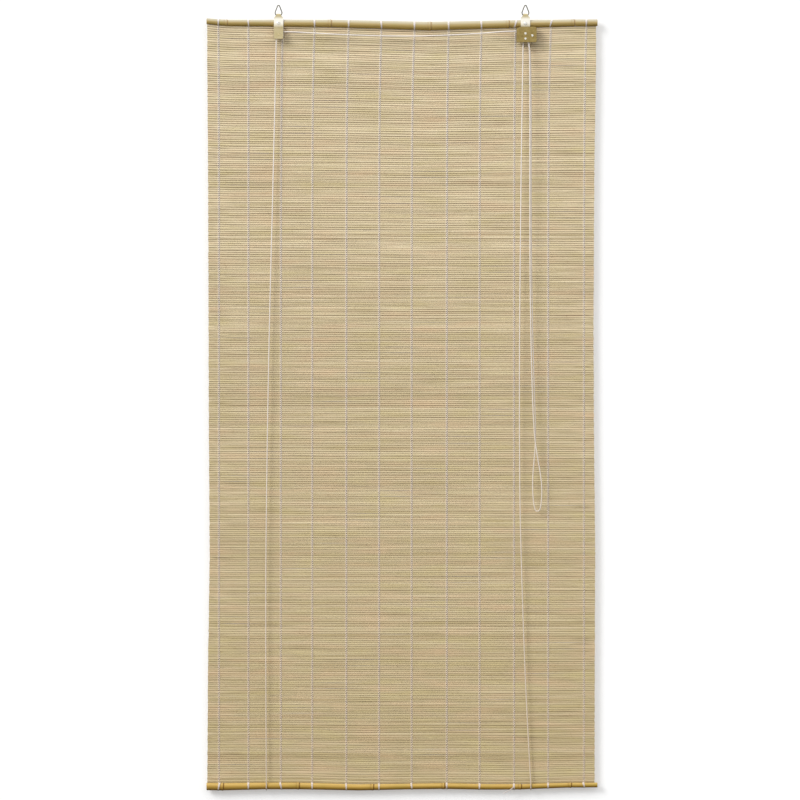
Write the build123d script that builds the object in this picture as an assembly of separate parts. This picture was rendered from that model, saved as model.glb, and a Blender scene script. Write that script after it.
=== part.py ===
from build123d import *
import math
import os

# Bamboo roll-up blind, in millimetres, +X to the right, +Y to the wall, +Z up.
# The origin is midway between the two hooks that the rings hang on.

# The two bamboo canes
CANE_LENGTH = 800.0
CANE_SETBACK = 6.5
TOP_CANE_DROP = 36.0
TOP_CANE_RADIUS = 7.6
TOP_CANE_BOW = 5.0
BOTTOM_CANE_RADIUS = 7.6
BOTTOM_CANE_BOW = 3.0
NODE_RISE = 0.7
PITH_DEPTH = 24.0
PITH_SHARE = 0.42
TOP_STATION_SHARES = (-0.5, -0.449, -0.183, 0.072, 0.272, 0.439, 0.5)
TOP_BOW_SHARES = (1.0, 0.32, 0.04, -1.0, -0.04, 0.4, 0.4)
TOP_THICKNESS_SHARES = (0.84, 0.88, 0.93, 1.0, 0.95, 0.91, 0.9)
BOTTOM_STATION_SHARES = (-0.5, -0.459, -0.265, -0.075, 0.107, 0.303, 0.431, 0.5)
BOTTOM_BOW_SHARES = (0.27, -0.67, 0.2, -0.67, 0.33, -0.53, 1.0, 1.0)
BOTTOM_THICKNESS_SHARES = (1.0, 0.985, 0.92, 0.86, 0.81, 0.75, 0.71, 0.69)

# The mat of split bamboo slats
MAT_WIDTH = 792.0
MAT_DROP = 1561.0
SLAT_PITCH = 4.2
SLAT_THICKNESS = 1.6
GROOVE_DEPTH = 0.45
GROOVE_WIDTH = 0.9
GAP_COUNT = 88
GAP_STRIDE = 5
GAP_HEIGHT = 0.5
GAP_SPAN_SHARE = 0.7
GOLDEN_SHARE = 0.618034
EDGE_SLATS = 6

# The binding threads and the lashings round the canes
COLUMN_SHARES = (-0.4758, -0.397, -0.303, -0.2247, -0.1404, -0.0545,
                 0.0323, 0.1192, 0.2051, 0.2919, 0.3798, 0.4737)
THREAD_WIDTH = 1.8
THREAD_THICKNESS = 0.6
LASHING_WIDTH = 3.2
LASHING_THICKNESS = 0.8
LASHING_FIT = 0.3
LASHING_CLEARANCE = 0.25

# The wire rings
HOOK_SPREAD = 505.0
WIRE_RADIUS = 1.0
RING_DROP = 18.4
RING_BAR = 12.0
RING_WIDTH = 14.4
RING_WAIST_DROP = 13.4
RING_TOP = 3.0
RING_BEND_RADIUS = 1.6
RING_WAIST_RADIUS = 3.5
RING_BUTT_GAP = 0.2

# The sheet metal straps and their screws
SHEET = 1.2
EYE_FIT = 0.15
EYE_WIDTH = 8.4
SHOULDER_DROP = 24.5
STRAP_WIDTH = 19.0
STRAP_CORNER = 2.0
LEFT_STRAP_DROP = 67.5
RIGHT_STRAP_DROP = 72.0
SCREW_RADIUS = 1.5
SCREW_LENGTH = 9.0
SCREW_HEAD_RADIUS = 3.7
SCREW_HEAD_HEIGHT = 2.0
SCREW_SLOT_WIDTH = 0.9
SCREW_SLOT_DEPTH = 0.8
PILOT_FIT = 0.05

# The pins, and the pulley block folded from the left strap
PIN_RADIUS = 1.5
PIN_FIT = 0.1
PIN_HEAD_RADIUS = 2.3
PIN_HEAD_HEIGHT = 0.9
RIM_SHARE = 0.6
BLOCK_DEPTH = 6.0
BLOCK_HEIGHT = 21.5
SIDE_FIT = 0.3
PULLEY_DROP = 59.1
PULLEY_SHIFT = 1.6
PULLEY_ROOT_RADIUS = 4.5
PULLEY_RADIUS = 6.2

# The cord lock on the right strap
LOCK_WIDTH = 41.0
LOCK_HEIGHT = 31.6
LOCK_DROP = 43.0
LOCK_SHIFT = 2.2
LOCK_DEPTH = 9.0
LOCK_CORNER = 2.0
LOCK_NOTCH_WIDTH = 9.0
LOCK_NOTCH_HEIGHT = 3.0
GUIDE_RADIUS = 3.2
GUIDE_DROP = 56.6
GUIDE_SPACING = 10.6
CAM_DROP = 60.9
CAM_SHIFT = 14.1
CAM_RADIUS = 4.6
CAM_HUB_RADIUS = 3.0
CAM_THROW = 2.6
CAM_TOOTH_RADIUS = 0.5
CAM_TEETH = 16

# The cord, its turns under the bottom cane and its ends in the top cane
CORD_RADIUS = 1.15
CORD_FIT = 0.3
CORD_LEAD = 1.0
CORD_END_GAP = 0.15
RUN_SHARE = 0.45
LEFT_TURN_X = -277.4
RIGHT_TURN_X = 263.7
LEFT_ANCHOR_X = -269.0
RIGHT_ANCHOR_X = 271.0
ANCHOR_BEND_RADIUS = 4.0
ANCHOR_DEPTH = 5.0


def cane_stations(station_shares, bow, bow_shares, radius, thickness_shares, axis_z):
    """Place, height and radius at a cane's two ends and at each bamboo node."""
    return [(share * CANE_LENGTH, axis_z + rise * bow, thick * radius)
            for share, rise, thick in zip(station_shares, bow_shares, thickness_shares)]


def cane_at(stations, x):
    """Height of a cane's axis and its radius at one place along it."""
    for (x0, z0, r0), (x1, z1, r1) in zip(stations, stations[1:]):
        if x <= x1:
            break
    share = (x - x0) / (x1 - x0)
    return z0 + share * (z1 - z0), r0 + share * (r1 - r0)


def round_bar(start, end, radius_start, radius_end):
    """Straight round bar, tapered where its two radii differ."""
    run = Vector(*end) - Vector(*start)
    plane = Plane(origin=start, z_dir=run)
    if radius_start == radius_end:
        return Solid.make_cylinder(radius_start, run.length, plane)
    return Solid.make_cone(radius_start, radius_end, run.length, plane)


def bar_along_x(x0, x1, y, z, radius):
    """Round bar from left to right."""
    return round_bar((x0, y, z), (x1, y, z), radius, radius)


def bar_along_y(x, z, y0, y1, radius):
    """Round bar from front to back."""
    return round_bar((x, y0, z), (x, y1, z), radius, radius)


def block(x0, x1, y0, y1, z0, z1):
    """Upright block between two places on each axis."""
    sized = Box(x1 - x0, y1 - y0, z1 - z0, align=(Align.MIN, Align.MIN, Align.MIN))
    return (Pos(x0, y0, z0) * sized).solid()


def plate(points, y0, y1):
    """Flat piece with an outline of (x, z) points and a thickness from y0 to y1."""
    wire = Wire.make_polygon([(x, y0, z) for x, z in points], close=True)
    return Solid.extrude(Face(wire), Vector(0, y1 - y0, 0))


def cane(stations):
    """Tapered internodes with a swelling at each node and a pith hole in each end."""
    points = [(x, CANE_SETBACK, z) for x, z, r in stations]
    radii = [r for x, z, r in stations]
    pieces = [round_bar(a, b, ra, rb)
              for a, b, ra, rb in zip(points, points[1:], radii, radii[1:])]
    pieces += [(Pos(*p) * Sphere(r + NODE_RISE)).solid()
               for p, r in zip(points[1:-1], radii[1:-1])]
    body = pieces[0].fuse(*pieces[1:])
    holes = []
    for end, inner, radius in ((points[0], points[1], radii[0]),
                               (points[-1], points[-2], radii[-1])):
        inward = Vector(*inner) - Vector(*end)
        pith = Plane(origin=end, z_dir=inward)
        holes.append(Solid.make_cylinder(PITH_SHARE * radius, PITH_DEPTH, pith))
    return body.cut(*holes)


def lashing(stations, x):
    """Thread wrap round a cane."""
    z, r = cane_at(stations, x)
    x0 = x - LASHING_WIDTH / 2
    x1 = x + LASHING_WIDTH / 2
    inner = r + LASHING_FIT
    wrap = bar_along_x(x0, x1, CANE_SETBACK, z, inner + LASHING_THICKNESS)
    return wrap.cut(bar_along_x(x0, x1, CANE_SETBACK, z, inner))


def domed(x, z, y, out, radius, height):
    """Round head with a soft rim that stands out from the plane at y."""
    head = bar_along_y(x, z, y, y + out * height, radius)
    rims = head.edges().filter_by(GeomType.CIRCLE).sort_by(Axis.Y)
    return head.fillet(RIM_SHARE * height, [rims[-1] if out > 0 else rims[0]])


def rivet(x, z, y_front, y_back):
    """Pin with a domed head at each end."""
    pin = bar_along_y(x, z, y_front, y_back, PIN_RADIUS)
    return pin.fuse(domed(x, z, y_front, -1, PIN_HEAD_RADIUS, PIN_HEAD_HEIGHT),
                    domed(x, z, y_back, 1, PIN_HEAD_RADIUS, PIN_HEAD_HEIGHT))


def roller(x, z, y0, y1, radius):
    """Plain roller that turns on a pin."""
    return bar_along_y(x, z, y0, y1, radius).cut(
        bar_along_y(x, z, y0, y1, PIN_RADIUS + PIN_FIT))


def ring(x):
    """Triangular wire ring with its ends butted inside the strap's eye."""
    half_bar = RING_BAR / 2
    half_width = RING_WIDTH / 2
    half_top = RING_TOP / 2
    side = [(RING_BUTT_GAP / 2, -RING_DROP), (half_bar, -RING_DROP),
            (half_width, -RING_WAIST_DROP), (half_top, WIRE_RADIUS)]
    points = [(x + dx, 0, z) for dx, z in side]
    points += [(x - dx, 0, z) for dx, z in reversed(side)]
    radii = [RING_BEND_RADIUS, RING_WAIST_RADIUS, RING_BEND_RADIUS,
             RING_BEND_RADIUS, RING_WAIST_RADIUS, RING_BEND_RADIUS]
    path = Wire(FilletPolyline(*points, radius=radii).edges())
    section = Plane(origin=path @ 0, z_dir=path % 0) * Circle(WIRE_RADIUS)
    return sweep(section, path=path).solid()


def strap(x, drop, screw_z):
    """Flat strap with a shouldered neck curled round the ring's bar."""
    flat = block(x - STRAP_WIDTH / 2, x + STRAP_WIDTH / 2, strap_front, strap_back,
                 -drop, -SHOULDER_DROP)
    corners = flat.edges().filter_by(Axis.Y).group_by(Axis.Z)[0]
    flat = flat.fillet(STRAP_CORNER, corners)
    neck = plate([(x - EYE_WIDTH / 2, -RING_DROP), (x + EYE_WIDTH / 2, -RING_DROP),
                  (x + STRAP_WIDTH / 2, -SHOULDER_DROP), (x - STRAP_WIDTH / 2, -SHOULDER_DROP)],
                 strap_front, strap_back)
    x0 = x - EYE_WIDTH / 2
    x1 = x + EYE_WIDTH / 2
    inner = WIRE_RADIUS + EYE_FIT
    eye = bar_along_x(x0, x1, 0, -RING_DROP, inner + SHEET)
    bore = bar_along_x(x - STRAP_WIDTH, x + STRAP_WIDTH, 0, -RING_DROP, inner)
    hole = bar_along_y(x, screw_z, strap_front, strap_back, SCREW_RADIUS + PILOT_FIT)
    return flat.fuse(neck, eye).cut(bore, hole)


def screw(x, z):
    """Round-headed screw with a driver slot."""
    head = domed(x, z, strap_front, -1, SCREW_HEAD_RADIUS, SCREW_HEAD_HEIGHT)
    shank = bar_along_y(x, z, strap_front, strap_front + SCREW_LENGTH, SCREW_RADIUS)
    face = strap_front - SCREW_HEAD_HEIGHT
    slot = block(x - SCREW_HEAD_RADIUS, x + SCREW_HEAD_RADIUS, face, face + SCREW_SLOT_DEPTH,
                 z - SCREW_SLOT_WIDTH / 2, z + SCREW_SLOT_WIDTH / 2)
    return head.fuse(shank).cut(slot)


def cord_path(name, points, fixed):
    """Straight runs joined by arcs as large as the runs allow, or of a fixed radius."""
    radii = []
    for i in range(1, len(points) - 1):
        before = Vector(*points[i]) - Vector(*points[i - 1])
        after = Vector(*points[i + 1]) - Vector(*points[i])
        half_turn = math.radians(before.get_angle(after)) / 2
        largest = RUN_SHARE * min(before.length, after.length) / math.tan(half_turn)
        radii.append(fixed.get(i, largest))
    print(name, "radii", [round(r, 1) for r in radii])
    return list(FilletPolyline(*points, radius=radii).edges())


def cord_tube(name, edges):
    """Round cord along joined edges; prints its length and its volume's share."""
    path = Wire(edges)
    section = Plane(origin=path @ 0, z_dir=path % 0) * Circle(CORD_RADIUS)
    tube = sweep(section, path=path).solid()
    share = tube.volume / (math.pi * CORD_RADIUS ** 2 * path.length)
    print(name, "length", round(path.length, 1), "volume share", round(share, 4))
    return tube


# Places that follow from the sizes
top_z = -TOP_CANE_DROP
bottom_z = top_z - MAT_DROP
left_x = -HOOK_SPREAD / 2
right_x = HOOK_SPREAD / 2
strap_back = -(WIRE_RADIUS + EYE_FIT)
strap_front = strap_back - SHEET
top_stations = cane_stations(TOP_STATION_SHARES, TOP_CANE_BOW, TOP_BOW_SHARES,
                             TOP_CANE_RADIUS, TOP_THICKNESS_SHARES, top_z)
bottom_stations = cane_stations(BOTTOM_STATION_SHARES, BOTTOM_CANE_BOW, BOTTOM_BOW_SHARES,
                                BOTTOM_CANE_RADIUS, BOTTOM_THICKNESS_SHARES, bottom_z)
columns = [share * MAT_WIDTH for share in COLUMN_SHARES]
left_screw_z = cane_at(top_stations, left_x)[0]
right_screw_z = cane_at(top_stations, right_x)[0]
nodes = {}

# Top cane with pilot holes for the screws and blind holes for the cord's ends
holes = [bar_along_y(x, z, CANE_SETBACK - 2 * TOP_CANE_RADIUS,
                     strap_front + SCREW_LENGTH + PILOT_FIT, SCREW_RADIUS + PILOT_FIT)
         for x, z in ((left_x, left_screw_z), (right_x, right_screw_z))]
for x in (LEFT_ANCHOR_X, RIGHT_ANCHOR_X):
    z, r = cane_at(top_stations, x)
    holes.append(bar_along_y(x, z, CANE_SETBACK + r - ANCHOR_DEPTH,
                             CANE_SETBACK + 2 * TOP_CANE_RADIUS, CORD_RADIUS + CORD_FIT))
nodes["top_cane"] = cane(top_stations).cut(*holes)
nodes["bottom_cane"] = cane(bottom_stations)

# Mat with one ridge a slat, trimmed along both canes, and slits where slats stand apart
edge_gap = LASHING_FIT + LASHING_THICKNESS + LASHING_CLEARANCE
top_edge = [(x, z - r - edge_gap) for x, z, r in top_stations]
bottom_edge = [(x, z + r + edge_gap) for x, z, r in bottom_stations]
mat_high = max(z for x, z in top_edge)
mat_low = min(z for x, z in bottom_edge)
slat_count = math.ceil((mat_high - mat_low) / SLAT_PITCH)
wall_low = mat_high - slat_count * SLAT_PITCH
half = SLAT_THICKNESS / 2
outline = []
for k in range(slat_count):
    z = mat_high - k * SLAT_PITCH
    outline += [(half - GROOVE_DEPTH, z), (half, z - GROOVE_WIDTH / 2),
                (half, z - SLAT_PITCH + GROOVE_WIDTH / 2)]
outline.append((half - GROOVE_DEPTH, wall_low))
rim = [(-MAT_WIDTH / 2, CANE_SETBACK - y, z) for y, z in outline]
rim += [(-MAT_WIDTH / 2, CANE_SETBACK + y, z) for y, z in reversed(outline)]
wall = Solid.extrude(Face(Wire.make_polygon(rim, close=True)), Vector(MAT_WIDTH, 0, 0))
cut_front = CANE_SETBACK - SLAT_THICKNESS
cut_back = CANE_SETBACK + SLAT_THICKNESS
above = mat_high + SLAT_PITCH
below = wall_low - SLAT_PITCH
end_x = CANE_LENGTH / 2
cutters = [plate(top_edge + [(end_x, above), (-end_x, above)], cut_front, cut_back),
           plate(bottom_edge + [(end_x, below), (-end_x, below)], cut_front, cut_back)]
for k in range(GAP_COUNT):
    row = EDGE_SLATS + math.floor((k * GOLDEN_SHARE) % 1 * (slat_count - 2 * EDGE_SLATS))
    span = GAP_STRIDE * k % (len(columns) - 1)
    middle = (columns[span] + columns[span + 1]) / 2
    reach = GAP_SPAN_SHARE * (columns[span + 1] - columns[span]) / 2
    z = mat_high - row * SLAT_PITCH
    cutters.append(block(middle - reach, middle + reach, cut_front, cut_back,
                         z - GAP_HEIGHT / 2, z + GAP_HEIGHT / 2))
nodes["slat_mat"] = wall.cut(*cutters)

# Binding threads, one strand on each face of the mat
for number, x in enumerate(columns, 1):
    z1, r1 = cane_at(top_stations, x)
    z0, r0 = cane_at(bottom_stations, x)
    strands = [block(x - THREAD_WIDTH / 2, x + THREAD_WIDTH / 2, y, y + THREAD_THICKNESS,
                     z0 + r0 + edge_gap, z1 - r1 - edge_gap)
               for y in (CANE_SETBACK - half - THREAD_THICKNESS, CANE_SETBACK + half)]
    nodes[f"binding_thread_{number:02d}"] = Compound(strands)

# Lashings round both canes
nodes["top_lashings"] = Compound([lashing(top_stations, x) for x in columns])
nodes["bottom_lashings"] = Compound([lashing(bottom_stations, x) for x in columns])

# Rings and hanger screws
nodes["left_ring"] = ring(left_x)
nodes["right_ring"] = ring(right_x)
nodes["left_hanger_screw"] = screw(left_x, left_screw_z)
nodes["right_hanger_screw"] = screw(right_x, right_screw_z)

# Left hanger, its lower end folded forward on the left into a pulley block
pulley_x = left_x + PULLEY_SHIFT
block_back = strap_front - BLOCK_DEPTH
block_front = block_back - SHEET
x0 = left_x - STRAP_WIDTH / 2
x1 = left_x + STRAP_WIDTH / 2
block_low = -LEFT_STRAP_DROP
block_high = block_low + BLOCK_HEIGHT
face = block(x0, x1, block_front, block_back, block_low, block_high)
face = face.fillet(STRAP_CORNER, face.edges().filter_by(Axis.Y).group_by(Axis.X)[-1])
fold = block(x0, x0 + SHEET, block_front, strap_front, block_low + STRAP_CORNER, block_high)
pin_hole = bar_along_y(pulley_x, -PULLEY_DROP, block_front, strap_back, PIN_RADIUS + PILOT_FIT)
nodes["left_hanger"] = strap(left_x, LEFT_STRAP_DROP, left_screw_z).fuse(face, fold).cut(pin_hole)
nodes["left_pulley_pin"] = rivet(pulley_x, -PULLEY_DROP, block_front, strap_back)

# Left pulley with a round groove for the cord
groove_radius = PULLEY_ROOT_RADIUS + CORD_FIT + CORD_RADIUS
pulley_y = (block_back + strap_front) / 2
wheel = roller(pulley_x, -PULLEY_DROP, block_back + SIDE_FIT, strap_front - SIDE_FIT, PULLEY_RADIUS)
groove_plane = Plane(origin=(pulley_x, pulley_y, -PULLEY_DROP), z_dir=(0, 1, 0))
groove = Solid.make_torus(groove_radius, CORD_RADIUS + CORD_FIT, groove_plane)
nodes["left_pulley"] = wheel.cut(groove)

# Right hanger and the cord lock's folded case riveted to it
lock_back = strap_front - SHEET
lock_front = lock_back - LOCK_DEPTH
guide_z = (-GUIDE_DROP, -GUIDE_DROP - GUIDE_SPACING)
cam_x = right_x + CAM_SHIFT
x0 = right_x + LOCK_SHIFT - LOCK_WIDTH / 2
x1 = x0 + LOCK_WIDTH
z1 = -LOCK_DROP
z0 = z1 - LOCK_HEIGHT
shell = plate([(x0 + LOCK_CORNER, z0), (x1 - LOCK_CORNER, z0), (x1, z0 + LOCK_CORNER),
               (x1, z1 - LOCK_CORNER), (x1 - LOCK_CORNER, z1), (x0 + LOCK_NOTCH_WIDTH, z1),
               (x0, z1 - LOCK_NOTCH_HEIGHT), (x0, z0 + LOCK_CORNER)],
              lock_front - SHEET, strap_front)
inside = block(x0 - SHEET, x1 - SHEET, lock_front, lock_back, z0 - SHEET, z1 + SHEET)
pin_holes = [bar_along_y(x, z, lock_front - SHEET, strap_back, PIN_RADIUS + PILOT_FIT)
             for x, z in ((right_x, guide_z[0]), (right_x, guide_z[1]), (cam_x, -CAM_DROP))]
nodes["lock_case"] = shell.cut(inside, *pin_holes)
nodes["right_hanger"] = strap(right_x, RIGHT_STRAP_DROP, right_screw_z).cut(*pin_holes)

# Guide rollers on their pins
for name, z in zip(("upper", "lower"), guide_z):
    nodes[f"{name}_guide_pin"] = rivet(right_x, z, lock_front - SHEET, strap_back)
    nodes[f"{name}_guide_roller"] = roller(right_x, z, lock_front + SIDE_FIT,
                                           lock_back - SIDE_FIT, GUIDE_RADIUS)

# Toothed cam that hangs open from its pin
cam_y0 = lock_front + SIDE_FIT
cam_y1 = lock_back - SIDE_FIT
cam_z = -CAM_DROP - CAM_THROW
hub = roller(cam_x, -CAM_DROP, cam_y0, cam_y1, CAM_HUB_RADIUS)
teeth = []
for k in range(CAM_TEETH):
    angle = 2 * math.pi * k / CAM_TEETH
    teeth.append(bar_along_y(cam_x + CAM_RADIUS * math.cos(angle),
                             cam_z + CAM_RADIUS * math.sin(angle),
                             cam_y0, cam_y1, CAM_TOOTH_RADIUS))
disc = bar_along_y(cam_x, cam_z, cam_y0, cam_y1, CAM_RADIUS).cut(*teeth)
bore = bar_along_y(cam_x, -CAM_DROP, cam_y0, cam_y1, PIN_RADIUS + PIN_FIT)
nodes["lock_cam"] = disc.cut(bore).fuse(hub)
nodes["cam_pin"] = rivet(cam_x, -CAM_DROP, lock_front - SHEET, strap_front)

# Cord turns under the bottom cane
turn_ends = {}
for side, x in (("left", LEFT_TURN_X), ("right", RIGHT_TURN_X)):
    z, r = cane_at(bottom_stations, x)
    reach = r + CORD_FIT + CORD_RADIUS
    turn_ends[side] = [(x, CANE_SETBACK - reach, z), (x, CANE_SETBACK + reach, z)]
    bend = ThreePointArc(turn_ends[side][0], (x, CANE_SETBACK, z - reach), turn_ends[side][1])
    nodes[f"{side}_cord_turn"] = cord_tube(f"{side}_cord_turn", [bend.edge()])

# Lift cords in front of the mat, from the pulley and the lower guide roller
guide_reach = GUIDE_RADIUS + CORD_FIT + CORD_RADIUS
pulley_left = (pulley_x - groove_radius, pulley_y, -PULLEY_DROP - CORD_LEAD)
lower_left = (right_x - guide_reach, -6.6, guide_z[1] - CORD_LEAD)
left_start = (pulley_left[0], pulley_y, pulley_left[2] - CORD_END_GAP)
right_start = (lower_left[0], lower_left[1], lower_left[2] - CORD_END_GAP)
left_route = [left_start, (-262.9, -4.8, -336), (-271.1, -4.1, -643), (-276.6, -3.5, -950),
              (-279.4, -2.8, -1250)]
right_route = [right_start, (244.3, -6.2, -275), (241.2, -5.6, -582), (240, -5.1, -800),
               (241, -4.5, -1010), (244, -3.9, -1136), (248.6, -3.3, -1280), (254.5, -2.4, -1430)]
for side, route in (("left", left_route), ("right", right_route)):
    x, y, z = turn_ends[side][0]
    name = f"{side}_lift_cord_front"
    nodes[name] = cord_tube(name, cord_path(name, route + [(x, y, z + CORD_END_GAP)], {}))

# Lift cords behind the mat, their ends let into the back of the top cane
for side, anchor_x in (("left", LEFT_ANCHOR_X), ("right", RIGHT_ANCHOR_X)):
    x, y, z = turn_ends[side][1]
    anchor_z, r = cane_at(top_stations, anchor_x)
    surface = CANE_SETBACK + r
    name = f"{side}_lift_cord_back"
    route = [(x, y, z + CORD_END_GAP),
             (anchor_x, surface + CORD_FIT + ANCHOR_BEND_RADIUS, anchor_z),
             (anchor_x, surface + CORD_FIT - ANCHOR_DEPTH, anchor_z)]
    nodes[name] = cord_tube(name, cord_path(name, route, {1: ANCHOR_BEND_RADIUS}))

# Cross cord over the pulley and the upper guide roller
pulley_top = -PULLEY_DROP + groove_radius
guide_top = guide_z[0] + guide_reach
right_side = right_x + guide_reach
cross_end = (right_side, -9.6, guide_z[0] - CORD_LEAD)
cross_route = [pulley_left, (pulley_left[0], pulley_y, pulley_top), (-224, -5.6, pulley_top),
               (-178, -6, -55.9), (-120, -6.5, -59.1), (-60, -7.1, -61.2), (0, -7.7, -62.2),
               (60, -8.2, -61.5), (115, -8.7, -59.4), (168, -9.1, -56), (215, -9.5, guide_top),
               (right_side, -9.6, guide_top), cross_end]
fixed = {1: groove_radius, len(cross_route) - 2: guide_reach}
nodes["cross_cord"] = cord_tube("cross_cord", cord_path("cross_cord", cross_route, fixed))

# Pull cord: two strands, their end loop, and the turn over the lower guide roller
turn_start = (right_side, -6.6, guide_z[1])
pull_start = (right_side, -9.6, cross_end[2] - CORD_END_GAP)
pull_route = [pull_start, (right_side, -9.6, -66), (260.2, -9.7, -92), (261.2, -9.8, -420),
              (262.2, -9.8, -600), (265.4, -9.7, -760), (269.6, -9.6, -868), (275.4, -9.4, -914),
              (282.2, -9.2, -951), (286.4, -9, -985), (285.2, -8.8, -1012), (282.6, -8.6, -1031),
              (277.2, -8.3, -1034.2), (271.6, -8, -1031.6), (268.6, -7.6, -1012),
              (266.8, -7.2, -985), (268, -6.9, -951), (272, -6.7, -914), (273.6, -6.6, -868),
              (269.4, -6.6, -760), (265.4, -6.6, -600), (264, -6.6, -420), (262.4, -6.6, -104),
              (right_side, -6.6, -76), turn_start]
strands = cord_path("pull_cord", pull_route, {})
turn_top = (right_x, -6.6, guide_z[1] + guide_reach)
turn_end = (right_x - guide_reach, -6.6, guide_z[1])
strands += [ThreePointArc(turn_start, turn_top, turn_end).edge(), Line(turn_end, lower_left).edge()]
nodes["pull_cord"] = cord_tube("pull_cord", strands)

os.makedirs("parts", exist_ok=True)
for name, shape in nodes.items():
    export_step(shape, f"parts/{name}.step")
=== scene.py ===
import math
import bpy
import numpy as np
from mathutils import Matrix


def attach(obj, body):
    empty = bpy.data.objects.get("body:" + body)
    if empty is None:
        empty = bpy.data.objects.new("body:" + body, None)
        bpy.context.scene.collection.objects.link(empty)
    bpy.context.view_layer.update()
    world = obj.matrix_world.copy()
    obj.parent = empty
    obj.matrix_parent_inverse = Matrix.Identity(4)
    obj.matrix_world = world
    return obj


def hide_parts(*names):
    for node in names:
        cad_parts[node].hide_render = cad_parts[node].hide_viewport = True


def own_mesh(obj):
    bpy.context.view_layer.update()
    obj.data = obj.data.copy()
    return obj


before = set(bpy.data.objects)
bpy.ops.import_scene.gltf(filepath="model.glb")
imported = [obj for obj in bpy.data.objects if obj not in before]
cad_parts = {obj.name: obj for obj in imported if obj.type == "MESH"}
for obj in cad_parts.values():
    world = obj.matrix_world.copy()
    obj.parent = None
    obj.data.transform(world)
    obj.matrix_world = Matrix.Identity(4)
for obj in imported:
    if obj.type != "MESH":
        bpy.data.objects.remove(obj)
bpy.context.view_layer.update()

# ---------------------------------------------------------------------------------------------
# The two canes: whole bamboo culms, cut to length with a saw, a little bent at every node and
# oiled. The upper one is pale and carries the blind; the lower one is golden and weights it.
# ---------------------------------------------------------------------------------------------
CANE_Y = 0.0065
TOP_X = np.array([-0.4, -0.3592, -0.1464, 0.0576, 0.2176, 0.3512, 0.4])
TOP_Z = np.array([-0.031, -0.0342, -0.0355, -0.0409, -0.0369, -0.0342, -0.034])
TOP_RADIUS = np.array([0.0061, 0.0063, 0.0077, 0.0089, 0.0079, 0.007, 0.0069])
TOP_NODES = TOP_X[1:-1]
BOTTOM_X = np.array([-0.4, -0.367, -0.283, -0.212, -0.087, 0.011,
                     0.086, 0.18, 0.242, 0.306, 0.345, 0.4])
BOTTOM_Z = -1.59 - 0.001 * np.array([7.0, 7.4, 5.8, 5.7, 8.7, 6.9, 6.0, 7.7, 7.5, 5.3, 4.1, 3.9])
BOTTOM_RADIUS = 0.001 * np.array([7.6, 7.5, 6.9, 7.0, 6.5, 6.1, 6.2, 5.9, 5.6, 5.2, 5.0, 4.9])
BOTTOM_NODES = np.array([-0.3672, -0.212, -0.06, 0.0856, 0.2424, 0.3448])
NODE_REACH = 0.007
NODE_BULGE = 0.0007
NODE_LIP = 0.00025
NODE_GROOVE = 0.00035
OVAL_SHARE = 0.012
SAW_BEVEL = 0.0006
PITH_DEPTH = 0.024
PITH_SHARE = 0.42
CANE_SIDES = 32
CANE_RINGS = 141
NODE_RINGS = 21


def tube_faces(rings, sides, count=1):
    """Faces of count tubes stacked in one list of points: ring i joins ring i + 1, the last side
    joins the first, and one flat face closes each end."""
    i, j = np.meshgrid(np.arange(rings - 1), np.arange(sides), indexing="ij")
    k = (j + 1) % sides
    quads = np.stack([i * sides + j, i * sides + k, (i + 1) * sides + k, (i + 1) * sides + j], -1)
    start = np.arange(count) * rings * sides
    quads = (quads.reshape(1, -1, 4) + start[:, None, None]).reshape(-1, 4)
    near = np.arange(sides)[::-1] + start[:, None]
    far = np.arange(sides) + (rings - 1) * sides + start[:, None]
    return quads.tolist() + near.tolist() + far.tolist()


def piece(name, points, faces, attributes=None, smooth_under=40):
    """One mesh object at the origin; attributes are one number for each point, and edges that
    turn by more than smooth_under degrees stay sharp."""
    mesh = bpy.data.meshes.new(name)
    mesh.from_pydata(points.reshape(-1, 3).tolist(), [], faces)
    for key, values in (attributes or {}).items():
        layer = mesh.attributes.new(key, "FLOAT", "POINT")
        layer.data.foreach_set("value", np.ascontiguousarray(values, np.float32).ravel())
    mesh.polygons.foreach_set("use_smooth", np.ones(len(mesh.polygons), bool))
    mesh.set_sharp_from_angle(angle=math.radians(smooth_under))
    made = bpy.data.objects.new(name, mesh)
    bpy.context.scene.collection.objects.link(made)
    return made


def bell(away, centre, width):
    """A bell curve of height 1 that has fallen to 1 / e at the width from its centre."""
    return np.exp(-((away - centre) / width) ** 2)


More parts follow.
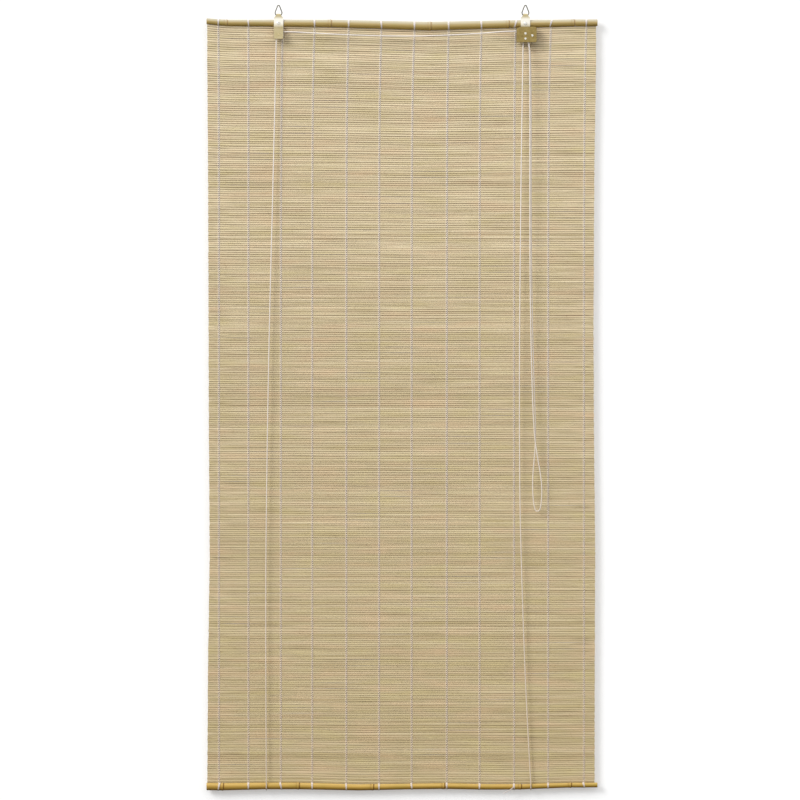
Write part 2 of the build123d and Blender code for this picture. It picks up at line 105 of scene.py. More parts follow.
def cane(name, xs, zs, radii, knots):
    """A culm as a lathe along X: the ring at each x has the radius between the stations, a bulge
    on a bell curve at each node with a low lip before it and a groove after it, and a slightly
    oval section. The first and last rings run in over the sawn end and down the pith hole."""
    near = (knots[:, None] + np.linspace(-NODE_REACH, NODE_REACH, NODE_RINGS)).ravel()
    even = np.linspace(xs[0] + SAW_BEVEL, xs[-1] - SAW_BEVEL, CANE_RINGS)
    x = np.unique(np.concatenate([even, near]))
    away = x - knots[np.abs(x[:, None] - knots).argmin(1)]
    radius = np.interp(x, xs, radii) + NODE_BULGE * bell(away, 0, 0.0016)
    radius += NODE_LIP * bell(away, -0.0036, 0.0007)
    radius -= NODE_GROOVE * bell(away, 0.0027, 0.0008)
    mark = bell(away, 0.0022, 0.0013) + 0.35 * bell(away, -0.004, 0.002)
    pith = PITH_SHARE * radii[[0, -1]]
    rim = radii[[0, -1]] - SAW_BEVEL
    x = np.concatenate([xs[0] + np.array([PITH_DEPTH, 0, 0]), x,
                        xs[-1] - np.array([0, 0, PITH_DEPTH])])
    radius = np.concatenate([[pith[0], pith[0], rim[0]], radius, [rim[1], pith[1], pith[1]]])
    mark = np.concatenate([[1, 0.4, 0.1], mark, [0.1, 0.4, 1]])
    cut = np.concatenate([np.ones(3), np.zeros(len(x) - 6), np.ones(3)])
    turn = np.linspace(0, 2 * math.pi, CANE_SIDES, endpoint=False)
    oval = 1 + OVAL_SHARE * np.cos(2 * turn[None] + 9 * x[:, None])
    points = np.stack([np.broadcast_to(x[:, None], oval.shape),
                       CANE_Y + radius[:, None] * oval * np.cos(turn),
                       np.interp(x, xs, zs)[:, None] + radius[:, None] * oval * np.sin(turn)], -1)
    around = np.ones_like(oval)
    return piece(name, points, tube_faces(len(x), CANE_SIDES),
                 {"node_mark": mark[:, None] * around, "cut": cut[:, None] * around,
                  "upper": np.sin(turn) * around})


def linear(code):
    """A colour written as sRGB hex, in linear light with full alpha."""
    srgb = np.array([int(code[i:i + 2], 16) for i in (1, 3, 5)]) / 255
    return (*np.where(srgb <= 0.04045, srgb / 12.92, ((srgb + 0.055) / 1.055) ** 2.4).tolist(), 1.0)


def add(tree, kind, settings=None, links=None):
    """One shader node: settings are its properties or its inputs' values, links feed its inputs."""
    made = tree.nodes.new(kind)
    for key, value in (settings or {}).items():
        if isinstance(key, str) and hasattr(made, key):
            setattr(made, key, value)
        else:
            made.inputs[key].default_value = value
    for key, socket in (links or {}).items():
        tree.links.new(socket, made.inputs[key])
    return made


def position(tree):
    """The shaded point's place in the object's own frame, in metres."""
    return add(tree, "ShaderNodeTexCoord").outputs["Object"]


def attribute(tree, name):
    """The number that the mesh carries under this name."""
    return add(tree, "ShaderNodeAttribute", {"attribute_name": name}).outputs["Fac"]


def noise(tree, vector, scale, detail, roughness=0.5):
    """Noise with this many features in a unit of the vector."""
    return add(tree, "ShaderNodeTexNoise",
               {"Scale": scale, "Detail": detail, "Roughness": roughness},
               {"Vector": vector}).outputs[0]


def ramp(tree, value, start, end, high=1.0, low=0.0):
    """A number that runs from low to high as the value runs from start to end, and stops there."""
    return add(tree, "ShaderNodeMapRange", {1: start, 2: end, 3: low, 4: high},
               {0: value}).outputs[0]


def blend(tree, share, first, second):
    """The colour this share of the way from first to second, each a hex code or a socket."""
    made = add(tree, "ShaderNodeMix", {"data_type": "RGBA"}, {0: share})
    for key, colour in ((6, first), (7, second)):
        if isinstance(colour, str):
            made.inputs[key].default_value = linear(colour)
        else:
            tree.links.new(colour, made.inputs[key])
    return made.outputs[2]


def material(name, settings):
    """A material whose principled shader has these settings, with its node tree and that shader."""
    made = bpy.data.materials.new(name)
    made.use_nodes = True
    shader = made.node_tree.nodes["Principled BSDF"]
    for key, value in settings.items():
        shader.inputs[key].default_value = value
    return made, made.node_tree, shader


def cane_material(name, pale, deep, green, scar, highlight_colour, highlight_share, under):
    """Bamboo rind: long streaks from pale to deep, faint green clouds, a painted highlight that
    pales the upper side, painted shade that darkens the under side to a deep gold, node scars,
    fibrous cut ends and a soft sheen of oil. The streaks are drawn 2.4 mm wide, coarser than real
    ones, so they show."""
    made, tree, shader = material(name, {"Roughness": 0.45, "Specular IOR Level": 0.09})
    place = position(tree)
    along = add(tree, "ShaderNodeMapping", {"Scale": (5, 420, 420)}, {"Vector": place})
    streak = noise(tree, along.outputs[0], 1, 4, 0.6)
    rind = blend(tree, streak, pale, deep)
    cloud = noise(tree, place, 26, 2)
    tinged = blend(tree, ramp(tree, cloud, 0.52, 0.8, 0.6), rind, green)
    upper = attribute(tree, "upper")
    # Painted highlight: the upper half of the culm is paled towards a greyish colour, fully near
    # the top.
    highlighted = blend(tree, ramp(tree, upper, 0.0, 0.75, highlight_share), tinged, highlight_colour)
    # Painted shade: the under side of the culm is darkened towards a deep gold, most at the bottom.
    golden = blend(tree, ramp(tree, upper, 0.1, -0.9, 0.6), highlighted, under)
    scarred = blend(tree, attribute(tree, "node_mark"), golden, scar)
    grain = blend(tree, noise(tree, place, 1500, 2), "#d8bf8d", "#8a6b3c")
    final = blend(tree, attribute(tree, "cut"), scarred, grain)
    bump = add(tree, "ShaderNodeBump", {"Strength": 0.25, "Distance": 0.0003}, {"Height": streak})
    tree.links.new(final, shader.inputs["Base Color"])
    tree.links.new(bump.outputs[0], shader.inputs["Normal"])
    return made


# Each culm's colours include a painted highlight for its upper side and painted shade for its under
# side.
top_cane = cane("top_culm", TOP_X, TOP_Z, TOP_RADIUS, TOP_NODES)
top_cane.data.materials.append(cane_material(
    "pale oiled bamboo culm", pale="#cdb984", deep="#967a42", green="#a39a5c", scar="#9c8056",
    highlight_colour="#b4ad97", highlight_share=1.0, under="#b0902e"))
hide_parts("top_cane")
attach(top_cane, "headrail")
bottom_cane = cane("bottom_culm", BOTTOM_X, BOTTOM_Z, BOTTOM_RADIUS, BOTTOM_NODES)
bottom_cane.data.materials.append(cane_material(
    "golden oiled bamboo culm", pale="#d2b05c", deep="#946e2a", green="#9a8a3a", scar="#73501f",
    highlight_colour="#c3ab74", highlight_share=0.4, under="#8a5f08"))
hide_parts("bottom_cane")
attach(bottom_cane, "bottom_bar")

# ---------------------------------------------------------------------------------------------
# The mat: 367 slats split from bamboo, about 4.2 mm wide and 1.4 mm thick, laid edge to edge with
# painted shade in the seams and a fine slit here and there. Near the canes the rows follow the
# canes' bends. The mat hangs from the top cane and is rolled up from below.
# ---------------------------------------------------------------------------------------------
SLATS = 367
SLAT_HALF_LENGTH = 0.396
SLAT_HALF_THICKNESS = (0.0006, 0.0008)
SLAT_LEAN = 0.00009
SLAT_SHIFT = 0.00008
SEAM_WANDER = 0.00014
END_ROUGHNESS = 0.0004
SLITS = 88
SLIT_WIDTH = 0.0005
SLIT_MARGIN = 6  # rows below the top cane and above the bottom cane that have no slit
GOLDEN_SHARE = 0.618034  # a step that spreads the slits evenly over the rows
BOWED = 130  # places where a short streak of painted shade stands for a slat bowed away from the next
CANE_GAP = 0.0001
TOP_BEND_REACH = 0.22
BOTTOM_BEND_REACH = 0.13
COLUMNS = 0.792 * np.array([-0.4758, -0.397, -0.303, -0.2247, -0.1404, -0.0545,
                            0.0323, 0.1192, 0.2051, 0.2919, 0.3798, 0.4737])
END_SHARE = [0, 0.05, 0.2, 0.4, 0.55, 0.7, 0.85, 1]
LEFT_END = [-2.5, -2.4, -0.7, 0.2, 1, 2.6, -1, -2.4]  # mm by which the slats' ends stray in X
RIGHT_END = [1, 0.8, -2.6, -4.2, -3, -0.6, -1.7, -2]


def row_height(x, share):
    """Height at x of the line that is this share of the way down the mat: evenly spaced between
    the canes' mean edges, plus each cane's bend dying away with distance from it."""
    upper = np.interp(x, TOP_X, TOP_Z - TOP_RADIUS) - CANE_GAP
    lower = np.interp(x, BOTTOM_X, BOTTOM_Z + BOTTOM_RADIUS) + CANE_GAP
    high = np.mean(TOP_Z - TOP_RADIUS) - CANE_GAP
    low = np.mean(BOTTOM_Z + BOTTOM_RADIUS) + CANE_GAP
    down = share * (high - low)
    return (high - down + (upper - high) * np.exp(-down / TOP_BEND_REACH)
            + (lower - low) * np.exp(-(high - low - down) / BOTTOM_BEND_REACH))


# Seams: where the slats meet, at the mat's ends, its outer threads and midway between threads.
# Slats are a little wider near the top, and more uneven further down.
chance = np.random.default_rng(7)
middles = (COLUMNS[1:] + COLUMNS[:-1]) / 2
station = np.concatenate([[-SLAT_HALF_LENGTH], COLUMNS[:1], middles, COLUMNS[-1:],
                          [SLAT_HALF_LENGTH]])
slat_share = np.linspace(0, 1, SLATS)
widths = np.interp(slat_share, [0.3, 0.45], [1.04, 0.965])
widths += (0.08 + 0.14 * slat_share) * np.clip(chance.normal(0, 1, SLATS), -2, 2)
seam_share = np.concatenate([[0], np.cumsum(widths)])[:, None] / widths.sum()
wander = chance.normal(0, SEAM_WANDER, (SLATS + 1, len(station)))
wander[[0, -1]] = 0
seam = row_height(station[None], seam_share) + wander
openness = chance.random((SLATS + 1, 1)) * 0.35 + chance.random(seam.shape) * 0.85
gap = np.zeros(seam.shape)
slit = np.arange(SLITS)
slit_row = SLIT_MARGIN + np.floor(
    (slit * GOLDEN_SHARE) % 1 * (SLATS - 2 * SLIT_MARGIN)).astype(int)
slit_span = 2 + 5 * slit % (len(COLUMNS) - 1)
gap[slit_row, slit_span] = SLIT_WIDTH
# The slits' edges get the darkest painted shade.
openness[slit_row, slit_span] = 1.2

# Slats: a section of six corners at every station, flat in front and behind, with bevelled edges.
CORNERS = 6
BACK_LOWER, UPPER_EDGE, FRONT_LOWER, LOWER_EDGE = 0, 2, 4, 5
upper_edge = seam[:-1] - gap[:-1] / 2
lower_edge = seam[1:] + gap[1:] / 2
middle = (upper_edge + lower_edge) / 2
half = (upper_edge - lower_edge) / 2
depth = chance.uniform(*SLAT_HALF_THICKNESS, (SLATS, 1)) * np.ones_like(half)
lean = chance.normal(0, SLAT_LEAN, half.shape)
shift = chance.normal(0, SLAT_SHIFT, half.shape)
ends = np.broadcast_to(station, half.shape).copy()
for end, stray in ((0, LEFT_END), (-1, RIGHT_END)):
    ends[:, end] += (0.001 * np.interp(seam_share[:-1, 0], END_SHARE, stray)
                     + chance.uniform(-END_ROUGHNESS, END_ROUGHNESS, SLATS))
flat = 0.42 + 0.16 * slat_share
section_y = np.array([1, 1, 0, -1, -1, 0])
section_z = np.stack([-flat, flat, np.ones(SLATS), flat, -flat, -np.ones(SLATS)], -1)[:, None]
slat_points = np.stack([
    np.broadcast_to(ends[..., None], (*half.shape, CORNERS)),
    CANE_Y + shift[..., None] + depth[..., None] * section_y + lean[..., None] * section_z,
    middle[..., None] + half[..., None] * section_z], -1)

# What the material reads: each slat's tone, the place along its culm, and the painted shade at its
# edges, which is less further down, strong in short streaks that stand for slats bowed away from
# the next, and strongest next to the canes.
tint = np.clip(0.2 + 0.7 * seam_share[:-1] + chance.normal(0, 0.08, (SLATS, 1))
               + chance.normal(0, 0.06, half.shape), 0, 1)
along = ends + chance.random((SLATS, 1)) * 0.4
edge = np.zeros((*half.shape, CORNERS))
seam_shade = np.interp(slat_share, [0, 0.35, 0.65, 1], [0.76, 0.8, 0.6, 0.42])[:, None]
edge[..., UPPER_EDGE] = np.clip(seam_shade * (0.1 + 0.95 * openness[:-1]), 0, 1)
edge[..., LOWER_EDGE] = np.clip(seam_shade * (0.25 + openness[1:]), 0, 1)
bowed_row = chance.integers(12, SLATS - 8, BOWED)
bowed_span = chance.integers(1, len(station) - 1, BOWED)
darkness = chance.uniform(0.0, 0.3, BOWED)
edge[bowed_row, bowed_span, LOWER_EDGE] = 0.5 + darkness
edge[bowed_row + 1, bowed_span, UPPER_EDGE] = 0.5 + darkness
edge[bowed_row, bowed_span, FRONT_LOWER] = darkness
# Painted shadow lines where the mat meets the canes, with the last slat's lower corners half shaded
# too.
edge[0, :, UPPER_EDGE] = edge[-1, :, LOWER_EDGE] = 1.0
edge[-1, :, [BACK_LOWER, FRONT_LOWER]] = 0.5
slats = piece("slats", slat_points, tube_faces(len(station), CORNERS, SLATS),
              {"tint": np.repeat(tint[..., None], CORNERS, -1), "edge": edge,
               "along": np.repeat(along[..., None], CORNERS, -1)}, smooth_under=20)

# Split bamboo, bare and dry: each slat has its own tone from straw to tan, with pinkish and
# olive clouds over a few slats, fibres along it and a brown node mark every 300 mm or so. The
# fibres are drawn about 2 mm across, coarser than real ones, so that they show.
split_bamboo, tree, shader = material("dry split bamboo",
                                      {"Roughness": 0.62, "Specular IOR Level": 0.2})
place = position(tree)
straw = blend(tree, attribute(tree, "tint"), "#efdfbc", "#b6a57e")
wide = add(tree, "ShaderNodeMapping", {"Scale": (9, 1, 45)}, {"Vector": place})
cloud = noise(tree, wide.outputs[0], 1, 2)
greened = blend(tree, ramp(tree, cloud, 0.5, 0.75, 0.45), straw, "#d0c28a")
warmed = blend(tree, ramp(tree, cloud, 0.5, 0.25, 0.4), greened, "#e2bf9c")
drawn_out = add(tree, "ShaderNodeMapping", {"Scale": (8, 300, 520)}, {"Vector": place})
fibre = noise(tree, drawn_out.outputs[0], 1, 1)
fibrous = blend(tree, ramp(tree, fibre, 0.35, 0.75, 0.2), warmed, "#a98d5c")
internodes = add(tree, "ShaderNodeMath", {"operation": "MULTIPLY", 1: 3.1},
                 {0: attribute(tree, "along")})
past_node = add(tree, "ShaderNodeMath", {"operation": "FRACT"}, {0: internodes.outputs[0]})
marked = blend(tree, ramp(tree, past_node.outputs[0], 0.012, 0.0, 0.22), fibrous, "#94764a")
# Painted shade: the edge share darkens the slats towards dark brown in the seams.
edged = blend(tree, attribute(tree, "edge"), marked, "#553006")
bump = add(tree, "ShaderNodeBump", {"Strength": 0.1, "Distance": 0.0002}, {"Height": fibre})
tree.links.new(edged, shader.inputs["Base Color"])
tree.links.new(bump.outputs[0], shader.inputs["Normal"])
slats.data.materials.append(split_bamboo)
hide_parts("slat_mat")
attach(slats, "headrail")
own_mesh(slats)

# ---------------------------------------------------------------------------------------------
# Binding threads: twelve columns, each of two cotton threads twined round every slat, one
# passing in front where the other passes behind, and crossing at the seams.
# ---------------------------------------------------------------------------------------------
THREAD_RADIUS = 0.0008
THREAD_SIDES = 5
THREAD_SWING = 0.0012  # to the front and back
THREAD_SWAY = 0.0019  # to the left and right
THREAD_TOP = 0.001 * np.array([1, 0, -4, -1, 2, 1, 0, 1, 0, 1, 4, 2])
THREAD_FOOT = 0.001 * np.array([2, 0, -8, -6, -3, -4, -6, -3, -4, -2, -2, -3])
DRIFT_SLATS = 28  # how soon a column drifts from its place at the top to the one at the foot
STEPS_A_SLAT = 3


def tube(lines, radius, across, sides):
    """Points of round tubes: each line's points, with a circle of the radius on the plane across
    the line, turned from the given direction across."""
    way = np.gradient(lines, axis=-2)
    way /= np.linalg.norm(way, axis=-1, keepdims=True)
    first = across - (way @ across)[..., None] * way
    first /= np.linalg.norm(first, axis=-1, keepdims=True)
    second = np.cross(way, first)
    turn = np.linspace(0, 2 * math.pi, sides, endpoint=False)
    return lines[..., None, :] + radius * (np.cos(turn)[:, None] * first[..., None, :]
                                           + np.sin(turn)[:, None] * second[..., None, :])


# Cotton thread: off-white, quite matt, with faint grey-brown flecks where it has taken up dust, and
# the further down the mat, the nearer its colour comes to the slats'.
cotton, tree, shader = material("off-white cotton thread",
                                {"Roughness": 0.85, "Specular IOR Level": 0.2})
flecked = blend(tree, noise(tree, position(tree), 260, 3), "#ebe5e2", "#d3cbc7")
darkened_below = blend(tree, attribute(tree, "dust"), flecked, "#d0c1b3")
tree.links.new(darkened_below, shader.inputs["Base Color"])

step = np.linspace(0, SLATS, STEPS_A_SLAT * SLATS + 1)
share = np.interp(step, np.arange(SLATS + 1), seam_share[:, 0])
side = np.array([1.0, -1.0])[:, None]
for number, (top, foot) in enumerate(zip(COLUMNS + THREAD_TOP, COLUMNS + THREAD_FOOT), 1):
    x = foot + (top - foot) * np.exp(-step / DRIFT_SLATS)
    lines = np.stack([x + side * THREAD_SWAY * np.cos(math.pi * step),
                      CANE_Y - side * THREAD_SWING * np.sin(math.pi * step),
                      np.broadcast_to(row_height(x, share), (2, len(step)))], -1)
    thread = piece(f"twined_thread_{number:02d}",
                   tube(lines, THREAD_RADIUS, np.array([1.0, 0, 0]), THREAD_SIDES),
                   tube_faces(len(step), THREAD_SIDES, 2),
                   {"dust": np.broadcast_to(share[:, None], (2, len(step), THREAD_SIDES))},
                   smooth_under=180)
    thread.data.materials.append(cotton)
    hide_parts(f"binding_thread_{number:02d}")
    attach(thread, "headrail")
    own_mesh(thread)

# ---------------------------------------------------------------------------------------------
# Lashings: at the end of every column the thread takes three and a half turns round the cane;
# some were pulled askew. One end was left long and hangs below the bottom cane.
# ---------------------------------------------------------------------------------------------
LASHING_RADIUS = 0.00045
LASHING_SIDES = 6
LASHING_POINTS = 85
LASHING_TURNS = 3.5
LASHING_PITCH = 0.00095
TOP_SKEW = 0.001 * np.array([0.4, -0.3, 0.5, 0, 0.3, -0.4, 0.2, 0, -0.3, 2.6, 2.4, 0.5])
BOTTOM_SKEW = 0.001 * np.array([1.6, 0.3, -1.4, 0.2, 0, 0.4, -0.5, 0.2, 0.6, -0.4, 0.2, -1.2])
BOTTOM_DUST = 0.5
TAIL_START = np.array([0.2285, -0.0001, -1.5975])
TAIL_REACH = np.array([0.0208, 0.0022, 0.0135])  # to the left, forwards in an arc, and down
TAIL_THICKER = 1.7  # the loose end has untwisted


def lashing_points(columns, skew, xs, zs, radii):
    """Helices round a cane: the height and depth run on a circle just outside the cane at that x,
    while x creeps along by one pitch a turn and sways by the skew once a turn."""
    turn = np.linspace(0, 2 * math.pi * LASHING_TURNS, LASHING_POINTS)
    creep = (turn / (2 * math.pi) - LASHING_TURNS / 2) * LASHING_PITCH
    x = columns[:, None] + creep + skew[:, None] * np.sin(turn)
    out = np.interp(x, xs, radii) + LASHING_RADIUS
    lines = np.stack([x, CANE_Y - out * np.cos(turn),
                      np.interp(x, xs, zs) + out * np.sin(turn)], -1)
    return tube(lines, LASHING_RADIUS, np.array([1.0, 0, 0]), LASHING_SIDES)


wraps = lashing_points(COLUMNS + THREAD_TOP, TOP_SKEW, TOP_X, TOP_Z, TOP_RADIUS)
top_turns = piece("top_lashing_turns", wraps,
                  tube_faces(LASHING_POINTS, LASHING_SIDES, len(wraps)), smooth_under=180)
top_turns.data.materials.append(cotton)
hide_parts("top_lashings")
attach(top_turns, "headrail")

wraps = lashing_points(COLUMNS + THREAD_FOOT, BOTTOM_SKEW, BOTTOM_X, BOTTOM_Z, BOTTOM_RADIUS)
bend = np.linspace(0, 1, LASHING_POINTS)
tail = TAIL_START - TAIL_REACH * np.stack([bend, np.sin(math.pi * bend), bend ** 0.8], -1)
wraps = np.concatenate([wraps, tube(tail[None], TAIL_THICKER * LASHING_RADIUS,
                                    np.array([0, 1.0, 0]), LASHING_SIDES)])
bottom_turns = piece("bottom_lashing_turns", wraps,
                     tube_faces(LASHING_POINTS, LASHING_SIDES, len(wraps)),
                     {"dust": np.full(wraps.shape[:-1], BOTTOM_DUST)}, smooth_under=180)
bottom_turns.data.materials.append(cotton)
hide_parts("bottom_lashings")
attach(bottom_turns, "bottom_bar")

# ---------------------------------------------------------------------------------------------
# Metalwork: bent wire rings, straps and the pulley block pressed from lacquered sheet steel, a
# cord lock folded from brassed sheet, turned pins and rollers, and slotted round-head screws.
# ---------------------------------------------------------------------------------------------


def metal(name, bright, dull, roughness, patch):
    """Worn metal: two tones in clouds patch metres across, and roughness that varies with them."""
    made, tree, shader = material(name, {"Metallic": 1.0})
    cloud = noise(tree, position(tree), 1 / patch, 5, 0.65)
    worn = ramp(tree, cloud, 0.3, 0.7, roughness + 0.1, roughness - 0.08)
    tree.links.new(blend(tree, cloud, bright, dull), shader.inputs["Base Color"])
    tree.links.new(worn, shader.inputs["Roughness"])
    return made


# Gold-lacquered strap steel, olive brassed lock steel, grey drawn wire, bright plated pins, and
# turned brass for the wheels and the cam.
strap_gold = metal("gold-lacquered sheet steel", "#d2c6a2", "#ab9a6a", 0.38, 0.009)
lock_brass = metal("dull brassed sheet steel", "#b7a167", "#5f4f29", 0.4, 0.006)
ring_steel = metal("grey drawn steel wire", "#6a6656", "#45423a", 0.4, 0.03)
pin_plate = metal("bright plated steel", "#f3f1ea", "#c9c6bb", 0.25, 0.003)
roller_brass = metal("turned brass", "#c9ab66", "#94793c", 0.32, 0.004)
# Across the cane a painted highlight lies on the straps' lacquer, in a near-white band from under
# the eye to the cord.
tree = strap_gold.node_tree
height = add(tree, "ShaderNodeSeparateXYZ", {}, {0: position(tree)}).outputs["Z"]
above_cord = ramp(tree, height, -0.044, -0.035, 0.85)
above_cane = ramp(tree, height, -0.027, -0.021, 0.85)
band = add(tree, "ShaderNodeMath", {"operation": "SUBTRACT"}, {0: above_cord, 1: above_cane})
shader = tree.nodes["Principled BSDF"]
lacquer = shader.inputs["Base Color"].links[0].from_socket
painted_glare = blend(tree, band.outputs[0], lacquer, "#fbf8ee")
tree.links.new(painted_glare, shader.inputs["Base Color"])
for finish, names in ((strap_gold, ("left_hanger", "right_hanger", "left_pulley_pin")),
                      (lock_brass, ("lock_case",)),
                      (ring_steel, ("left_ring", "right_ring")),
                      (pin_plate, ("left_hanger_screw", "right_hanger_screw", "upper_guide_pin",
                                   "lower_guide_pin", "cam_pin")),
                      (roller_brass, ("left_pulley", "upper_guide_roller", "lower_guide_roller",
                                      "lock_cam"))):
    for name in names:
        bpy.data.objects[name].data.materials.clear()
        bpy.data.objects[name].data.materials.append(finish)

# ---------------------------------------------------------------------------------------------
# The cord: one braided white line, 2.3 mm thick. On both sides it runs from the back of the top
# cane down behind the mat, under the bottom cane and up the front to a pulley or the lock, and
# the two join in the loop that is pulled. The runs are pieces, since they move differently.
# ---------------------------------------------------------------------------------------------
CORD_RADIUS = 0.00115
CORD_SIDES = 10
TURN_POINTS = 25
BRAID_CROSSINGS = 330  # in a metre
BRAID_STRANDS = 4  # that wind each way


def cord_line(name, route):
    """Points along the cord: a spline of order 3 whose control points are the route's, in mm."""
    curve = bpy.data.curves.new(name, "CURVE")
    curve.dimensions = "3D"
    curve.resolution_u = 12
    spline = curve.splines.new("NURBS")
    spline.points.add(len(route) - 1)
    spline.points.foreach_set("co", np.c_[0.001 * np.array(route), np.ones(len(route))].ravel())
    spline.order_u = 3
    spline.use_endpoint_u = True
    holder = bpy.data.objects.new(name, curve)
    drawn = bpy.data.meshes.new_from_object(holder)
    line = np.empty(3 * len(drawn.vertices))
    drawn.vertices.foreach_get("co", line)
    bpy.data.objects.remove(holder)
    bpy.data.meshes.remove(drawn)
    return line.reshape(-1, 3)


def cord_piece(name, line, across, body):
    """A round tube on the line, with a UV map of metres along it and the share of a turn round it;
    with it comes its length."""
    made = piece(name, tube(line, CORD_RADIUS, np.array(across), CORD_SIDES),
                 tube_faces(len(line), CORD_SIDES), smooth_under=60)
    reach = np.concatenate([[0], np.cumsum(np.linalg.norm(np.diff(line, axis=0), axis=1))])
    i, j = np.meshgrid(np.arange(len(line) - 1), np.arange(CORD_SIDES), indexing="ij")
    u = np.stack([reach[i], reach[i], reach[i + 1], reach[i + 1]], -1)
    v = np.stack([j, j + 1, j + 1, j], -1) / CORD_SIDES
    uv = np.zeros((len(made.data.loops), 2))
    uv[:u.size] = np.stack([u, v], -1).reshape(-1, 2)
    made.data.uv_layers.new(name="length").data.foreach_set("uv", uv.ravel())
    made.data.materials.append(braid)
    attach(made, body)
    return made, float(reach[-1])


# Braided cord: a warm white that is darker and duller the lower it hangs; the strands cross in a
# lattice 3 mm long, drawn a little coarser than the real braid so that it shows.
braid, tree, shader = material("white braided cord", {"Roughness": 0.7})
lay = add(tree, "ShaderNodeTexCoord").outputs["UV"]
waves = []
for lean in (BRAID_STRANDS, -BRAID_STRANDS):
    slope = add(tree, "ShaderNodeVectorMath",
                {"operation": "DOT_PRODUCT", 1: (BRAID_CROSSINGS, lean, 0)}, {0: lay})
    angle = add(tree, "ShaderNodeMath", {"operation": "MULTIPLY", 1: 2 * math.pi},
                {0: slope.outputs["Value"]})
    waves.append(add(tree, "ShaderNodeMath", {"operation": "SINE"}, {0: angle.outputs[0]}))
crossed = add(tree, "ShaderNodeMath", {"operation": "ADD"},
              {0: waves[0].outputs[0], 1: waves[1].outputs[0]})
lattice = add(tree, "ShaderNodeMath", {"operation": "MULTIPLY_ADD", 1: 0.25, 2: 0.5},
              {0: crossed.outputs[0]})
strands = blend(tree, lattice.outputs[0], "#d8cdc4", "#f5efe9")
bump = add(tree, "ShaderNodeBump", {"Strength": 0.5, "Distance": 0.0002},
           {"Height": lattice.outputs[0]})
height = add(tree, "ShaderNodeSeparateXYZ", {}, {0: position(tree)}).outputs["Z"]
dulled = blend(tree, ramp(tree, height, -0.3, -1.6), strands, "#cabaa5")
tree.links.new(dulled, shader.inputs["Base Color"])
tree.links.new(bump.outputs[0], shader.inputs["Normal"])

# Up the front of the mat and down its back: four straight runs that shorten as the mat rises.
for name, route in (
        ("left_lift_cord_front",
         [(-256.85, -5.35, -60.25), (-262.9, -4.8, -336), (-271.1, -4.1, -643),
          (-276.6, -3.5, -950), (-279.4, -2.8, -1250), (-277.4, -1.65, -1595.65)]),
        ("right_lift_cord_front",
         [(247.85, -6.6, -68.35), (244.3, -6.2, -275), (241.2, -5.6, -582), (240, -5.1, -800),
          (241, -4.5, -1010), (244, -3.9, -1136), (248.6, -3.3, -1280), (254.5, -2.4, -1430),
          (263.7, -0.2, -1596.65)]),
        ("left_lift_cord_back",
         [(-269, 8.65, -34.99), (-269, 17.65, -34.99), (-269.07, 17.63, -48.8),
          (-277.4, 14.65, -1595.65)]),
        ("right_lift_cord_back",
         [(271, 8.9, -35.32), (271, 17.9, -35.32), (270.94, 17.86, -49.1),
          (263.7, 13.2, -1596.65)])):
    line = cord_line(name, route)
    run_piece, length = cord_piece(f"{name}_run", line, (1.0, 0, 0), "headrail")
    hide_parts(name)
    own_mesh(run_piece)

# Under the bottom cane: half a turn on each side, which rises with the cane.
for name, x, z, radius in (("left_cord_turn", -0.2774, -1.5958, 0.00815),
                           ("right_cord_turn", 0.2637, -1.5968, 0.0067)):
    turn = np.linspace(0, math.pi, TURN_POINTS)
    line = np.stack([np.full(TURN_POINTS, x), CANE_Y - radius * np.cos(turn),
                     z - radius * np.sin(turn)], -1)
    half_turn = cord_piece(f"{name}_run", line, (1.0, 0, 0), "bottom_bar")[0]
    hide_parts(name)

# Across the top: from the left pulley, sagging a little in front of the mat, into the lock.
line = cord_line("cross_cord", [
    (-256.85, -5.35, -60.1), (-256.85, -5.35, -53.15), (-224, -5.6, -53.15), (-178, -6, -55.9),
    (-120, -6.5, -59.1), (-60, -7.1, -61.2), (0, -7.7, -62.2), (60, -8.2, -61.5),
    (115, -8.7, -59.4), (168, -9.1, -56), (215, -9.5, -51.95), (257.15, -9.6, -51.95),
    (257.15, -9.6, -57.6)])
cross_run, length = cord_piece("cross_cord_run", line, (0, 1.0, 0), "headrail")
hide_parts("cross_cord")

# The pull: down from the lock, round its loop at the foot, and back up over the lower roller.
line = cord_line("pull_cord", [
    (257.15, -9.6, -57.75), (257.15, -9.6, -66), (261.8, -9.7, -86), (261.4, -9.8, -420),
    (262.2, -9.8, -600), (265.4, -9.7, -760), (269.6, -9.6, -868), (275.4, -9.4, -914),
    (282.2, -9.2, -951), (286.4, -9, -985), (285.2, -8.8, -1012), (282.6, -8.6, -1031),
    (277.2, -8.3, -1034.2), (271.6, -8, -1031.6), (268.6, -7.6, -1012), (266.8, -7.2, -985),
    (268, -6.9, -951), (272, -6.7, -914), (273.6, -6.6, -868), (269.4, -6.6, -760),
    (265.4, -6.6, -600), (264, -6.6, -420), (264.2, -6.6, -98), (257.15, -6.6, -76),
    (257.15, -6.6, -67.2), (257.15, -6.6, -62.55), (252.5, -6.6, -62.55), (247.85, -6.6, -62.55),
    (247.85, -6.6, -67.2), (247.85, -6.6, -68.2)])
pull_run, length = cord_piece("pull_cord_run", line, (0, 1.0, 0), "headrail")
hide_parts("pull_cord")

# ---------------------------------------------------------------------------------------------
# Room: a white wall 20 mm behind the hooks, a pale floor, a soft sun from the upper left and light
# from all round that is stronger from above. Wall and floor show to the eye and in reflections
# only, so the blind's back is lit too, and their paint glows so that its shadow stays pale.
# ---------------------------------------------------------------------------------------------
WALL_Y = 0.0195
WALL_TOP = 1.2
FLOOR_Z = -1.85
ROOM_HALF = 3
CAMERA_DISTANCE = 20.0
VIEW_WIDTH = 1.637  # metres across the picture, at the canes
FILM_WIDTH = 36


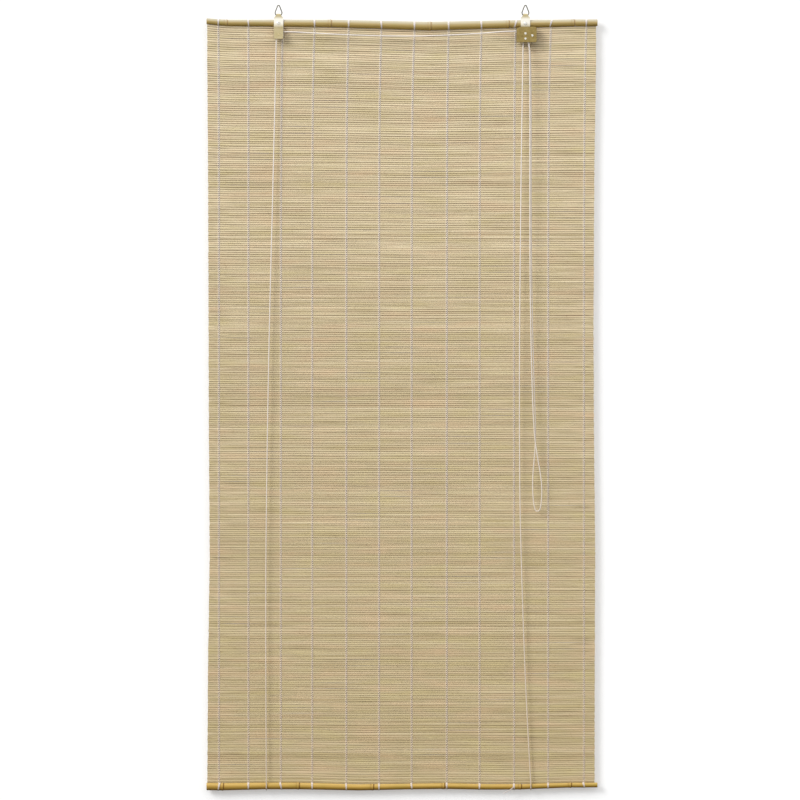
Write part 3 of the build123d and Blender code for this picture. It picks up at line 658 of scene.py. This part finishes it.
def shown(tree):
    """1 for rays from the eye, from reflections and through clear materials, and 0 for others."""
    ray = add(tree, "ShaderNodeLightPath")
    either = add(tree, "ShaderNodeMath", {"operation": "MAXIMUM"},
                 {0: ray.outputs["Is Camera Ray"], 1: ray.outputs["Is Glossy Ray"]})
    return add(tree, "ShaderNodeMath", {"operation": "MAXIMUM"},
               {0: either.outputs[0], 1: ray.outputs["Is Transmission Ray"]}).outputs[0]


# Wall paint: a flat, faintly glowing white without shine, which is seen from its front only.
white_paint, tree, shader = material("white wall paint", {
    "Base Color": (0.7, 0.7, 0.7, 1), "Roughness": 0.95, "Specular IOR Level": 0.0,
    "Emission Color": (1, 1, 1, 1), "Emission Strength": 0.33})
front = add(tree, "ShaderNodeMath", {"operation": "SUBTRACT", "use_clamp": True},
            {0: shown(tree), 1: add(tree, "ShaderNodeNewGeometry").outputs["Backfacing"]})
mixed = add(tree, "ShaderNodeMixShader", {},
            {0: front.outputs[0], 1: add(tree, "ShaderNodeBsdfTransparent").outputs[0],
             2: shader.outputs[0]})
tree.links.new(mixed.outputs[0], tree.nodes["Material Output"].inputs["Surface"])
wall = piece("wall", np.array([[-ROOM_HALF, WALL_Y, FLOOR_Z], [ROOM_HALF, WALL_Y, FLOOR_Z],
                               [ROOM_HALF, WALL_Y, WALL_TOP], [-ROOM_HALF, WALL_Y, WALL_TOP]]),
             [(0, 1, 2, 3)])
floor = piece("floor", np.array([[-ROOM_HALF, -ROOM_HALF, FLOOR_Z],
                                 [ROOM_HALF, -ROOM_HALF, FLOOR_Z],
                                 [ROOM_HALF, WALL_Y, FLOOR_Z], [-ROOM_HALF, WALL_Y, FLOOR_Z]]),
              [(0, 1, 2, 3)])
for plane in (wall, floor):
    plane.data.materials.append(white_paint)

room = bpy.data.worlds.new("pale room")
room.use_nodes = True
bpy.context.scene.world = room
tree = room.node_tree
way = add(tree, "ShaderNodeSeparateXYZ", {},
          {0: add(tree, "ShaderNodeTexCoord").outputs["Generated"]})
glow = add(tree, "ShaderNodeMath", {"operation": "MAXIMUM"},
           {0: ramp(tree, way.outputs["Z"], -0.6, 1.0, 1.7), 1: shown(tree)})
tree.links.new(glow.outputs[0], tree.nodes["Background"].inputs["Strength"])
tree.nodes["Background"].inputs["Color"].default_value = (1, 1, 1, 1)

lamp = bpy.data.lights.new("soft sun", "SUN")
lamp.energy = 2.0
lamp.angle = math.radians(27)
sun = bpy.data.objects.new("soft sun", lamp)
sun.rotation_euler = (math.radians(58), 0, math.radians(-48))
bpy.context.scene.collection.objects.link(sun)

lens = bpy.data.cameras.new("camera")
lens.sensor_width = FILM_WIDTH
lens.lens = FILM_WIDTH * (CAMERA_DISTANCE + CANE_Y) / VIEW_WIDTH
camera = bpy.data.objects.new("camera", lens)
camera.location = (-0.00409, -CAMERA_DISTANCE, -0.8061)
camera.rotation_euler = (math.pi / 2, 0, 0)
bpy.context.scene.collection.objects.link(camera)
bpy.context.scene.camera = camera
bpy.context.scene.view_settings.view_transform = "Standard"
